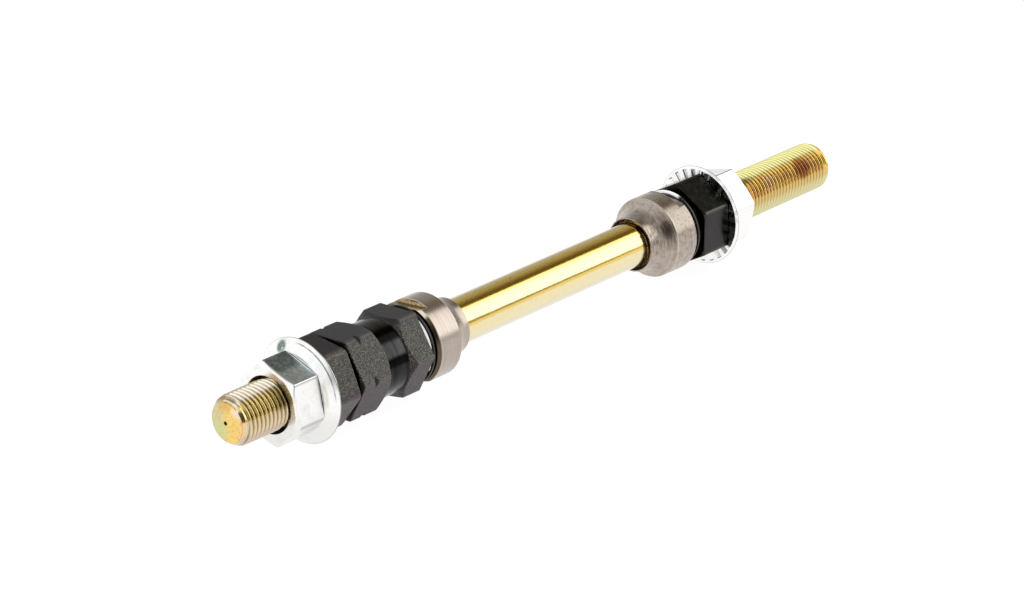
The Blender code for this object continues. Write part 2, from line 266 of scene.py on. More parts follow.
# %% [markdown]
# ## The axle
# A rolled thread is a V groove that winds round the bar. In polar form the radius depends only on
# the phase, x / pitch - angle / 360: a crest passes where it is a whole number, and that makes a
# right-hand thread. If the rows of the grid follow the crests, few of them draw a clean thread.
# Each row then meets the row one pitch further on when it has gone round once, which is the shift
# of the grid. Only the four stretches of thread that show, at the ends and beside the cones, are
# cut. The rest is plain bar.

# %% The axle's sizes
PITCH = 0.977
CREST, ROOT, BLANK = 4.75, 4.2, 4.35
CREST_FLAT, V_SHARE = 0.07, 0.55
RUN_OUT, INNER_THREAD = 1.5 * PITCH, 3.0
END_FACE = {RIGHT: 3.75, LEFT: 4.2}
END_BEVEL = {RIGHT: 1.4, LEFT: 0.6}
END_DOME = {RIGHT: 0.42, LEFT: 0.1}
BEVEL_BLEND = 0.3
DRILL_RADIUS, DRILL_DEPTH = 0.36, 0.7
FACE_ROWS = (1, 0.96, 0.88, 0.75, 0.5, 0.25)
DRILL_ROWS = ((1.2, 0), (1.05, 0.02), (0.95, 0.1), (0.6, 0.45), (0, 1))
AXLE_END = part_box("axle")[1].x / MM
THREAD_SEEN = {RIGHT: 20.4, LEFT: 37.6}
THREAD_INNER_END = {RIGHT: -25.55, LEFT: 25.3}
AXLE_COLUMNS, ROWS_PER_PITCH, BAR_ROWS = 160, 8, 6
AXLE_ANGLES = turn_angles(AXLE_COLUMNS)


# %% Blocks of the axle
def thread_radius(phase):
    """Radius of a rolled thread: r = crest - (crest - root) (v d + (1 - v) d^2 (3 - 2 d)).

    The depth d goes from 0 at the crest's flat, where the phase is 0, to 1 at the root's. Its
    straight share v gives flanks of about 30 degrees, and the rest rounds them off.
    """
    off = np.abs((phase + 0.5) % 1 - 0.5)
    depth = np.clip((off - CREST_FLAT) / (0.5 - 2 * CREST_FLAT), 0, 1)
    rounded = depth * depth * (3 - 2 * depth)
    return CREST - (CREST - ROOT) * (V_SHARE * depth + (1 - V_SHARE) * rounded)


def thread_block(low, high, low_radius=None, high_radius=None):
    """Rows along the helix: x = low + pitch (row / N + column / M - 1), cut off at both ends.

    At an end that joins plain bar, the thread fades to that radius over the run-out. The bevel at
    the axle's end is the straight line from the end face's radius to the crest's.
    """
    pitches = (high - low) / PITCH
    rows = np.arange(int((pitches + 1) * ROWS_PER_PITCH) + 2)[:, None]
    columns = np.arange(AXLE_COLUMNS)[None, :]
    along = np.clip(rows / ROWS_PER_PITCH + columns / AXLE_COLUMNS - 1, 0, pitches)
    x = low + along * PITCH
    radius = thread_radius(along - columns / AXLE_COLUMNS)
    for plain, distance in ((low_radius, x - low), (high_radius, high - x)):
        if plain:
            radius = plain + (radius - plain) * np.clip(distance / RUN_OUT, 0, 1)
    side = LEFT if high > 0 else RIGHT
    slope = (CREST - END_FACE[side]) / END_BEVEL[side]
    bevel = END_FACE[side] + slope * (AXLE_END - END_DOME[side] - np.abs(x))
    return x, smooth_min(radius, bevel, BEVEL_BLEND), AXLE_ANGLES, False, ROWS_PER_PITCH


def cap_block(side):
    """The domed end with its centre drill, from the rim inwards: x = end - dome (r / rim)^2 - drill."""
    rim = END_FACE[side]
    drill = np.array(DRILL_ROWS)
    radius = np.concatenate([DRILL_RADIUS + (rim - DRILL_RADIUS) * np.array(FACE_ROWS),
                             DRILL_RADIUS * drill[:, 0]])
    drop = DRILL_DEPTH * np.concatenate([np.zeros(len(FACE_ROWS)), drill[:, 1]])
    drop += END_DOME[side] * (radius / rim) ** 2
    x = side * (AXLE_END - drop)
    return x[:, None], radius[:, None], AXLE_ANGLES, False, 0


def bar_block(low, high, radius):
    """Plain round bar between two places."""
    return np.linspace(low, high, BAR_ROWS)[:, None], radius, AXLE_ANGLES, False, 0


# %% Make the axle
near_hidden, far_hidden = THREAD_SEEN[RIGHT] - AXLE_END, AXLE_END - THREAD_SEEN[LEFT]
near_inner, far_inner = THREAD_INNER_END[RIGHT], THREAD_INNER_END[LEFT]
axle = make_piece("threaded_axle", [
    cap_block(RIGHT),
    thread_block(END_DOME[RIGHT] - AXLE_END, near_hidden, high_radius=CREST),
    bar_block(near_hidden, near_inner - INNER_THREAD, CREST),
    thread_block(near_inner - INNER_THREAD, near_inner, CREST, BLANK),
    bar_block(near_inner, far_inner, BLANK),
    thread_block(far_inner, far_inner + INNER_THREAD, BLANK, CREST),
    bar_block(far_inner + INNER_THREAD, far_hidden, CREST),
    thread_block(far_hidden, AXLE_END - END_DOME[LEFT], low_radius=CREST),
    cap_block(LEFT),
])

# %% [markdown]
# ## Axle nuts
# An axle nut is a 14 mm hexagon with a bevel that takes the corners off its outer face. Its collar
# reaches through the washer and is rolled out into a lip, so that the washer swivels but stays on.

# %% Axle nuts
NUT_FLATS, NUT_HEIGHT, NUT_HEX = 14.0, 8.5, 6.4
NUT_BAR = NUT_FLATS / math.sqrt(3) + OVERSIZE
NUT_FACE, NUT_BASE, NUT_EDGE = 6.9, 7.75, 0.45
BORE = 4.85
NUT_MOUTH, NUT_THROAT = 5.35, 5.1
THROAT_DEPTH, NUT_THREAD_START = 1.3, 1.55
COLLAR, LIP = 5.6, 6.3
LIP_TOP, LIP_FOOT = 1.0 - NUT_HEIGHT, 0.6 - NUT_HEIGHT
NUT_PROFILE = [
    (NUT_MOUTH, 0.0, 0.1, 4),
    (NUT_FACE, 0.0, 0.1, 14),
    (NUT_BAR, (NUT_FACE - NUT_BAR) * BEVEL_SLOPE, 0.0, 34),
    (NUT_BAR, (NUT_BAR - NUT_BASE) * BEVEL_SLOPE - NUT_HEX, 0.0, 8),
    (NUT_BASE, -NUT_HEX, 0.05, 6),
    (COLLAR, -NUT_HEX, 0.05, 3),
    (COLLAR, LIP_TOP, 0.05, 2),
    (LIP, LIP_TOP, 0.15, 2),
    (LIP, LIP_FOOT, 0.15, 3),
    (BORE, LIP_FOOT, 0.1, 6),
    (BORE, -NUT_THREAD_START, 0.05, 3),
    (NUT_THROAT, -THROAT_DEPTH, 0.05, 4),
]
nuts = {}
for side, node, turn in ((RIGHT, "right_nut", -18.7), (LEFT, "left_nut", -15.7)):
    nuts[node] = hexagon_piece(node, side, turn, NUT_FLATS, NUT_PROFILE, -NUT_HEX, NUT_EDGE)

# %% [markdown]
# ## Captive washers
# The washer is a low cone whose underside bites into the frame with 26 saw teeth. A tooth is a
# height that changes round the washer, so the washer's surface is the larger of two heights: its
# own profile, and the floor of the grooves, which rises steeply on one side and slowly on the other.

# %% Captive washers
WASHER_THICK = 2.0
BITE = -WASHER_THICK
TOOTH_COUNT, TOOTH_DEPTH, TOOTH_OFFSET = 26, 0.42, 2.0
TOOTH_WALL, TOOTH_RAMP, TOOTH_ROUNDING, TOOTH_COLUMNS = 0.2, 1.15, 0.04, 16
WASHER_BORE, WASHER_TOP, BRIM, WASHER_RIM = 5.75, 7.6, 9.15, 9.85
BRIM_AT, RIM_TOP, RIM_FOOT = BITE + 0.95, BITE + 0.4, BITE + 0.28
GROOVE_END, GROOVE_STEP, GROOVE_FADE = 9.25, 0.05, 0.08
RECESS, RECESS_TOP = 7.3, BITE + 0.55
LIP_ROOM, LIP_ROOM_TOP = 6.45, BITE + 1.1
WASHER_PROFILE = [
    (WASHER_BORE, 0.0, 0.08, 4),
    (WASHER_TOP, 0.0, 0.2, 10),
    (BRIM, BRIM_AT, 0.25, 8),
    (WASHER_RIM, RIM_TOP, 0.12, 10),
    (WASHER_RIM, RIM_FOOT, 0.1, 6),
    (GROOVE_END + GROOVE_STEP, BITE, 0.0, 1),
    (GROOVE_END - GROOVE_STEP, BITE, 0.0, 12),
    (RECESS, BITE, 0.05, 8),
    (RECESS, RECESS_TOP, 0.05, 4),
    (LIP_ROOM, RECESS_TOP, 0.05, 4),
    (LIP_ROOM, LIP_ROOM_TOP, 0.05, 3),
    (WASHER_BORE, LIP_ROOM_TOP, 0.05, 4),
]


def groove_floor(angle, radius, side, turn):
    """Height of the grooves' floor: bite + depth * clip(min(1 + arc / wall, 1 - arc / ramp), 0, 1).

    The arc is the way round the rim from the nearest tooth's tip. The floor sinks to nothing at
    the plain rim, where (GROOVE_END - radius) changes its sign.
    """
    own = np.degrees(angle) + 90 if side == LEFT else 90 - np.degrees(angle)
    pitch = 360 / TOOTH_COUNT
    arc = np.radians((own - turn - TOOTH_OFFSET + pitch / 4) % pitch - pitch / 4) * WASHER_RIM
    inside = np.clip((GROOVE_END - radius) / GROOVE_FADE + 0.5, 0, 1)
    tooth = np.clip(np.minimum(1 + arc / TOOTH_WALL, 1 - arc / TOOTH_RAMP), 0, 1)
    return BITE + TOOTH_DEPTH * tooth * inside


nut_washers = {}
for side, node, turn in ((RIGHT, "right_nut_washer", 0.0), (LEFT, "left_nut_washer", 0.6)):
    radius, height = profile(WASHER_PROFILE)
    angle = turn_angles(TOOTH_COUNT * TOOTH_COLUMNS)
    height = -smooth_min(-height, -groove_floor(angle, radius, side, turn), TOOTH_ROUNDING)
    nut_washers[node] = make_ring(node, side, radius, height, angle)

# %% [markdown]
# ## Black hexagons
# Locknuts and spacer are turned and parted off from black 15 mm hexagon bar. The long spacer keeps
# its hexagon at both ends, has a round waist between them and a V groove round the outer one.

# %% Locknuts
BAR_FLATS = 15.0
BAR = BAR_FLATS / math.sqrt(3) + OVERSIZE
BOSS = 6.5
LOCKNUT_FACE, LOCKNUT_MOUTH, MOUTH_DEPTH = 8.1, 5.3, 0.45
LOCKNUT_TURN = {RIGHT: -5.1, LEFT: 30.3}
LOCKNUT_HEX = {RIGHT: 6.2, LEFT: 7.1}
LOCKNUT_BOSS = {RIGHT: 0.7, LEFT: 1.35}


def locknut_profile(hexagon, boss):
    """Corners of a locknut whose hexagon and boss are that long, with bevels of 30 degrees."""
    drop = (BAR - LOCKNUT_FACE) * BEVEL_SLOPE
    return [
        (BORE, -MOUTH_DEPTH, 0.0, 3),
        (LOCKNUT_MOUTH, 0.0, 0.05, 6),
        (LOCKNUT_FACE, 0.0, 0.08, 10),
        (BAR, -drop, 0.0, 30),
        (BAR, drop - hexagon, 0.0, 10),
        (LOCKNUT_FACE, -hexagon, 0.08, 6),
        (BOSS, -hexagon, 0.1, 3),
        (BOSS, -hexagon - boss, 0.1, 6),
        (BORE, -hexagon - boss, 0.0, 4),
    ]


black_pieces = {}
for side, node in ((RIGHT, "right_locknut"), (LEFT, "left_locknut")):
    corners = locknut_profile(LOCKNUT_HEX[side], LOCKNUT_BOSS[side])
    black_pieces[node] = hexagon_piece(node, side, LOCKNUT_TURN[side], BAR_FLATS, corners,
                                       -LOCKNUT_HEX[side])

# %% Spacer
OUTER_HEX, WAIST_LENGTH, INNER_HEX, SPACER_BOSS = 7.6, 5.2, 5.25, 0.75
WAIST, GROOVE, GROOVE_AT = 7.2, 8.1, -3.1
SPACER_TURN = 3.2
SPACER_SLOPE = math.tan(math.radians(39))
WAIST_END = -OUTER_HEX - WAIST_LENGTH
HEX_END = WAIST_END - INNER_HEX
FLAT = BAR_FLATS / 2
SPACER_PROFILE = [
    (BORE, 0.0, 0.05, 6),
    (BAR, 0.0, 0.0, 14),
    (BAR, GROOVE_AT + BAR - GROOVE, 0.0, 8),
    (GROOVE, GROOVE_AT, 0.06, 8),
    (BAR, GROOVE_AT - BAR + GROOVE, 0.0, 12),
    (BAR, -OUTER_HEX + (BAR - FLAT) * SPACER_SLOPE, 0.0, 16),
    (WAIST, -OUTER_HEX + (WAIST - FLAT) * SPACER_SLOPE, 0.15, 20),
    (WAIST, WAIST_END - (WAIST - FLAT) * SPACER_SLOPE, 0.15, 16),
    (BAR, WAIST_END - (BAR - FLAT) * SPACER_SLOPE, 0.0, 20),
    (BAR, HEX_END, 0.0, 8),
    (BOSS, HEX_END, 0.05, 4),
    (BOSS, HEX_END - SPACER_BOSS, 0.1, 6),
    (BORE, HEX_END - SPACER_BOSS, 0.05, 6),
]
black_pieces["right_spacer"] = hexagon_piece(
    "right_spacer", RIGHT, SPACER_TURN, BAR_FLATS, SPACER_PROFILE, HEX_END)

# %% [markdown]
# ## Plain washers and cones
# A plain washer with a shoulder lies behind each cone. The cone is hardened steel: the balls run
# in the hollow race at its small end, and two flats at its other end take a thin spanner. The race
# is an arc of a circle, and the flats limit the radius to a / cos(angle) over the last two
# millimetres.

# %% Plain washers and cones
ROUND_ANGLES = turn_angles(320)
PLAIN_RIM, PLAIN_SHOULDER = 7.5, 7.0
PLAIN_THICK, SHOULDER_AT = 0.9, -0.45
PLAIN_WASHER_PROFILE = [
    (BORE, 0.0, 0.05, 6),
    (PLAIN_RIM, 0.0, 0.1, 4),
    (PLAIN_RIM, SHOULDER_AT, 0.1, 4),
    (PLAIN_SHOULDER, SHOULDER_AT, 0.05, 4),
    (PLAIN_SHOULDER, -PLAIN_THICK, 0.05, 6),
    (BORE, -PLAIN_THICK, 0.05, 4),
]
CONE, CONE_SMALL, CONE_LENGTH, CONE_BEVEL = 7.9, 5.35, 10.95, 0.5
CONE_MOUTH, CONE_MOUTH_DEPTH, CONE_THREAD_START = 5.1, 1.6, 1.9
RACE_RADIUS, RACE_END, RACE_EDGE, NOSE, RACE_POINTS = 5.5, -6.05, 0.12, 0.3, 26
CONE_FLATS, LEDGE, LEDGE_STEP, LEDGE_FADE = 13.6, -2.1, 0.08, 0.1
FLAT_BLEND, FLAT_CLEAR, LEAST_COSINE = 0.08, 4.0, 0.2
CONE_TURN = {RIGHT: 6.7, LEFT: 5.3}


def race_points():
    """Points of the race: an arc that joins the full diameter to the small end, hollow outside."""
    top, foot = np.array([CONE - RACE_EDGE, RACE_END]), np.array([CONE_SMALL, NOSE - CONE_LENGTH])
    chord = top - foot
    length = np.hypot(*chord)
    rise = math.sqrt(RACE_RADIUS ** 2 - (length / 2) ** 2)
    centre = (top + foot) / 2 + rise * np.array([chord[1], -chord[0]]) / length
    start = math.atan2(*(top - centre)[::-1])
    end = math.atan2(*(foot - centre)[::-1]) % (2 * math.pi)
    sweep = start + (end - start) * np.linspace(0, 1, RACE_POINTS)
    return [(centre[0] + RACE_RADIUS * math.cos(a), centre[1] + RACE_RADIUS * math.sin(a), 0.0, 1)
            for a in sweep]


CONE_PROFILE = [
    (BORE, 0.0, 0.1, 6),
    (CONE - CONE_BEVEL, 0.0, 0.06, 4),
    (CONE, -CONE_BEVEL, 0.06, 8),
    (CONE, LEDGE + LEDGE_STEP, 0.0, 8),
    (CONE, LEDGE - LEDGE_STEP, 0.0, 8),
    (CONE, RACE_END + RACE_EDGE, 0.1, 1),
    *race_points(),
    (CONE_SMALL, -CONE_LENGTH, 0.08, 3),
    (CONE_MOUTH, -CONE_LENGTH, 0.06, 6),
    (CONE_MOUTH, CONE_MOUTH_DEPTH - CONE_LENGTH, 0.1, 3),
    (BORE, CONE_THREAD_START - CONE_LENGTH, 0.05, 6),
]


def cone_piece(node, side):
    """A turned cone with two flats: r = smooth_min(profile, flat / cos(angle)).

    Between the ledge and the race the flats are moved clear of the bar.
    """
    radius, height = profile(CONE_PROFILE)
    normal = math.radians(flat_angle(side, CONE_TURN[side]))
    off = (ROUND_ANGLES - normal + np.pi / 2) % np.pi - np.pi / 2
    cut = CONE_FLATS / 2 / np.maximum(np.cos(off), LEAST_COSINE)
    above = np.clip((height - LEDGE) / LEDGE_FADE + 0.5, 0, 1)
    radius = smooth_min(radius, cut + FLAT_CLEAR * (1 - above), FLAT_BLEND)
    return make_ring(node, side, radius, height, ROUND_ANGLES)


plain_washers, cones = {}, {}
for side, word in ((RIGHT, "right"), (LEFT, "left")):
    node = word + "_cone_washer"
    plain_washers[node] = make_ring(node, side, *profile(PLAIN_WASHER_PROFILE), ROUND_ANGLES)
    node = word + "_cone"
    cones[node] = cone_piece(node, side)

# %% [markdown]
# ## Shader maths
# A finish is a small network of nodes. The class below wraps one socket, so that ordinary Python
# operators add the Math nodes, and `node` adds any other node.


# %% The socket wrapper
class Wire:
    """A socket on which + - * / ** add Math nodes. Its method `node` adds any other node."""

    def __init__(self, tree, socket=None):
        self.tree = tree
        self.socket = socket

    def node(self, kind, settings=None, sockets=None, output=0):
        """Adds a node: its settings first, then the values or links of its sockets."""
        made = self.tree.nodes.new(kind)
        for key, value in (settings or {}).items():
            setattr(made, key, value)
        for key, value in (sockets or {}).items():
            if isinstance(value, Wire):
                self.tree.links.new(value.socket, made.inputs[key])
            else:
                made.inputs[key].default_value = value
        return Wire(self.tree, made.outputs[output])

    def math(self, operation, *values):
        return self.node("ShaderNodeMath", {"operation": operation}, dict(enumerate(values)))

    def __add__(self, other):
        return self.math("ADD", self, other)

    def __sub__(self, other):
        return self.math("SUBTRACT", self, other)

    def __rsub__(self, other):
        return self.math("SUBTRACT", other, self)

    def __mul__(self, other):
        return self.math("MULTIPLY", self, other)

    def __truediv__(self, other):
        return self.math("DIVIDE", self, other)

    def __pow__(self, other):
        return self.math("POWER", self, other)

    __radd__ = __add__
    __rmul__ = __mul__

    def absolute(self):
        return self.math("ABSOLUTE", self)

    def rise(self, low, high):
        """0 below `low`, 1 above `high`, and a smooth step between them."""
        return self.node("ShaderNodeMapRange", {"interpolation_type": "SMOOTHSTEP"},
                         {"Value": self, "From Min": low, "From Max": high})

    def fall(self, low, high):
        """1 below `low`, 0 above `high`, and a smooth step between them."""
        return 1 - self.rise(low, high)

    def between(self, start, stop):
        """Rises from 0 to 1 over the pair `start` and falls again over the pair `stop`."""
        return self.rise(*start) * self.fall(*stop)

    def band(self, centre, half_width):
        """1 at `centre`, fading to 0 at `half_width` from it."""
        return (self - centre).absolute().fall(0.0, half_width)


# %% Colours, noises and coordinates
def mix(a, b, factor):
    """A colour that goes from `a` to `b`, which may be wires or plain colours, with a wire."""
    a, b = (value if isinstance(value, Wire) else (*value, 1.0) for value in (a, b))
    return factor.node("ShaderNodeMix", {"data_type": "RGBA"}, {0: factor, 6: a, 7: b}, output=2)


def noise(place, scale, detail, roughness):
    """Smooth noise between 0 and 1 whose blotches measure about 1 / scale."""
    return place.node("ShaderNodeTexNoise", {}, {
        "Vector": place, "Scale": scale, "Detail": detail, "Roughness": roughness})


def vector(x, y, z):
    return x.node("ShaderNodeCombineXYZ", {}, {0: x, 1: y, 2: z})


def start_finish(name):
    """A Principled material, with wires for the place in millimetres and round the axle."""
    material = bpy.data.materials.new(name)
    material.use_nodes = True
    tree = material.node_tree
    wire = Wire(tree)
    metres = wire.node("ShaderNodeTexCoord", output="Object")
    place = wire.node("ShaderNodeVectorMath", {"operation": "SCALE"}, {0: metres, "Scale": 1 / MM})
    x, y, z = (wire.node("ShaderNodeSeparateXYZ", {}, {0: place}, output=k) for k in range(3))
    radius = (y * y + z * z) ** 0.5
    far = x.rise(-0.5, 0.5)
    return SimpleNamespace(
        material=material, shader=tree.nodes["Principled BSDF"], place=place, x=x, y=y,
        along=x.absolute(), radius=radius, cosine=y / radius, sine=z / radius, far=far, near=1 - far)


def sector(at, middle, half, soft):
    """1 within `half` degrees of the angle `middle`, fading to 0 over `soft` degrees more."""
    turn = math.radians(middle)
    towards = at.cosine * math.cos(turn) + at.sine * math.sin(turn)
    return towards.rise(math.cos(math.radians(half + soft)), math.cos(math.radians(half)))


def spot(at, centre, size):
    """1 within half of `size` millimetres of the point `centre`, fading to 0 at `size`."""
    away = at.place.node("ShaderNodeVectorMath", {"operation": "DISTANCE"},
                         {0: at.place, 1: centre}, output="Value")
    return away.fall(size / 2, size)


def wound(at, along, across):
    """A place for noise that is drawn out round the axle, as the marks of a lathe are."""
    return vector(at.x * along, at.cosine * across, at.sine * across)


def bump(height, strength, distance):
    """A Normal that tilts as if `height` rose that far, in metres."""
    return height.node("ShaderNodeBump", {}, {
        "Strength": strength, "Distance": distance, "Height": height})


def feed(at, **values):
    """Sets the shader's sockets: a wire is linked, and a plain value is set on the socket."""
    for key, value in values.items():
        socket = at.shader.inputs[key.replace("_", " ")]
        if isinstance(value, Wire):
            value.tree.links.new(value.socket, socket)
        else:
            socket.default_value = value
    return at.material


# %% [markdown]
# ## Yellow zinc
# The axle is zinc plated and passivated yellow. The film is thin enough to shimmer: it is rosy in
# streaks. Deep gold along one side and pale on the other is painted light and shade, set by the angle
# round the axle, and so are the bands on the threaded ends and the dark in the thread's roots and
# valleys. The plain bar, the two threaded ends and the near end face each have their own shades.

# %% Yellow zinc finish
ORANGE_PATCH, RED_PATCH = (63.7, -3.8, 2.6), (74.2, -3.7, 2.7)
PALE_HIGHLIGHT_SPOT, PALE_GREEN = (-82.2, -2.5, 2.8), (-82.4, 1.6, -1.6)
NEAR_END_FROM, FAR_END_FROM = (-66.0, -62.0), (50.0, 56.0)
THREAD_FROM, THREAD_TO = (24.8, 25.4), (80.9, 81.1)
ROOT_RADII, VALLEY_RADII, RIM_RADII = (4.22, 4.58), (4.40, 4.70), (3.9, 4.1)


def yellow_zinc():
    at = start_finish("gold_chromate")
    small = noise(at.place, 1.3, 4.0, 0.65)
    patches = noise(at.place, 0.32, 3.0, 0.6)
    streaks = noise(wound(at, 0.15, 5.0), 2.2, 3.0, 0.6)
    speckle = noise(at.place, 2.6, 3.0, 0.7)

    # The plain bar, coloured by angle as painted light: paler and less blue where it mirrors the soft
    # box, deep gold as painted shade at 108 degrees, a painted dark line at 166 degrees, paler low down,
    # and darker at 60 degrees; rosy streaks, blotches and specks in the film.
    colour = mix((0.84, 0.74, 0.46), (0.84, 0.74, 0.36), sector(at, 143, 18, 6))
    colour = mix(colour, (0.86, 0.62, 0.14), sector(at, 108, 10, 16))
    colour = mix(colour, (0.82, 0.60, 0.16), sector(at, 166, 2, 5))
    colour = mix(colour, (0.70, 0.68, 0.56), sector(at, 223, 13, 16) * 0.7)
    colour = mix(colour, (0.85, 0.58, 0.26), streaks.rise(0.52, 0.75) * 0.45)
    colour = mix(colour, (0.66, 0.53, 0.22), small.rise(0.55, 0.8) * 0.45)
    colour = mix(colour, (0.60, 0.50, 0.28), sector(at, 60, 22, 8) * 0.6)
    colour = mix(colour, (0.30, 0.25, 0.08), speckle.rise(0.52, 0.66) * sector(at, 98, 14, 10) * 0.6)

    # The two threaded ends, coloured by angle as painted light: a painted highlight on top, a bright
    # orange band where they face the soft box, darker bands at other angles, and film patches.
    top, middle = sector(at, 96, 18, 24), sector(at, 143, 16, 14)
    far_colour = mix((0.69, 0.64, 0.34), (0.70, 0.50, 0.18), sector(at, 172, 8, 16))
    far_colour = mix(far_colour, (1.0, 0.97, 0.43), top)
    far_colour = mix(far_colour, (1.0, 0.64, 0.12), middle)
    far_colour = mix(far_colour, (0.82, 0.42, 0.14), middle * patches.rise(0.45, 0.6))
    far_colour = mix(far_colour, (0.90, 0.55, 0.25), spot(at, ORANGE_PATCH, 2.4))
    far_colour = mix(far_colour, (0.38, 0.06, 0.03), spot(at, RED_PATCH, 2.9) * 0.9)
    near_colour = mix((0.61, 0.49, 0.38), (0.72, 0.60, 0.40), sector(at, 180, 14, 14))
    near_colour = mix(near_colour, (0.98, 0.93, 0.80), top)
    near_colour = mix(near_colour, (0.45, 0.36, 0.24), sector(at, 56, 14, 8))
    near_colour = mix(near_colour, (0.84, 0.66, 0.26), middle)
    colour = mix(colour, near_colour, at.x.fall(*NEAR_END_FROM) * 0.9)
    colour = mix(colour, far_colour, at.x.rise(*FAR_END_FROM) * 0.9)

    # Painted shade in the thread: dark roots, darker valleys at the angles where they lie in shadow, a
    # painted shadow by the near nut, a painted dark band by the far nut, and a painted dark reflection
    # on the near end's bevel.
    threaded = at.along.between(THREAD_FROM, THREAD_TO)
    root = at.radius.fall(*ROOT_RADII) * threaded
    valley = at.radius.fall(*VALLEY_RADII) * threaded
    dark = sector(at, 122, 5, 10) * 0.7 + sector(at, 143, 13, 6) * (at.far * 0.1 + 0.2)
    dark = dark + (sector(at, 160, 2, 5) * at.near + sector(at, 166, 2, 4) * at.far) * 0.65
    colour = mix(colour, (0.22, 0.11, 0.02), root * 0.85)
    colour = mix(colour, (0.10, 0.045, 0.004), valley * dark)
    near_painted_shadow = at.x.between((-75.6, -73.4), (-60.0, -59.0)) * sector(at, 142, 22, 12) * 0.45
    far_painted_shade = at.x.fall(56.0, 62.0) * at.far * threaded * sector(at, 117, 5, 7) * 0.9
    colour = mix(colour, (0.05, 0.03, 0.012), near_painted_shadow + far_painted_shade)
    bevel = at.along.rise(*THREAD_TO) * at.near * at.radius.rise(*RIM_RADII)
    colour = mix(colour, (0.26, 0.15, 0.05), bevel * sector(at, 72, 30, 14) * 0.7)

    # The end faces: film colours, a painted highlight spot near the near rim, and the centre drill
    # painted black, as shade
    face = mix((0.91, 0.67, 0.20), (0.64, 0.62, 0.34), at.y.rise(-1.2, 2.2))
    face = mix(face, (0.93, 0.60, 0.30), at.radius.rise(2.4, 3.8) * sector(at, 165, 35, 30) * 0.8)
    face = mix(face, (0.72, 0.46, 0.14), at.radius.rise(1.4, 2.8) * sector(at, 80, 16, 22) * 0.7)
    face = mix(face, (0.62, 0.33, 0.10), speckle.rise(0.48, 0.60) * 0.5)
    face = mix(face, (0.62, 0.66, 0.30), spot(at, PALE_GREEN, 2.6) * 0.6)
    face = mix(face, (0.95, 0.86, 0.78), spot(at, PALE_HIGHLIGHT_SPOT, 1.7) * small.rise(0.3, 0.6) * 0.6)
    face = mix((0.01, 0.008, 0.005), face, at.radius.rise(0.28, 0.50))
    colour = mix(colour, face, at.along.rise(81.8, 81.95) * at.radius.fall(*RIM_RADII))
    return feed(at, Base_Color=colour, Metallic=1.0, Roughness=0.09 + small * 0.12 + threaded * 0.1,
                Normal=bump(streaks + small * 0.3 + speckle * 0.2, 0.12, 0.00004))


# %% [markdown]
# ## Bright zinc
# Nuts and captive washers are bright zinc: nearly white, with small pits, rubbed places and cloudy
# stains. One flat of the near nut carries a painted blue-grey reflection, and the ground between the
# far washer's teeth a painted dark grey-green reflection of the black hexagon. The lower side, the
# nuts' corners, the washers' rims and brims, the foot of the near nut and the mouths of the bores
# carry painted shade, and the far nut's front facet is painted darker where it mirrors the soft box.

# %% Bright zinc finish
GREY_SMUDGE, ORANGE_SPOT_BY_BORE = (-65.3, 3.5, 7.95), (-72.3, -1.9, 5.2)
NEAR_NUT_BEVEL, NEAR_NUT_BASE, FAR_NUT_BASE = (-71.9, -71.6), (-66.3, -66.1), (48.5, 48.8)
FAR_TEETH_FROM, FAR_TEETH_TO = (46.0, 46.1), (46.7, 46.8)


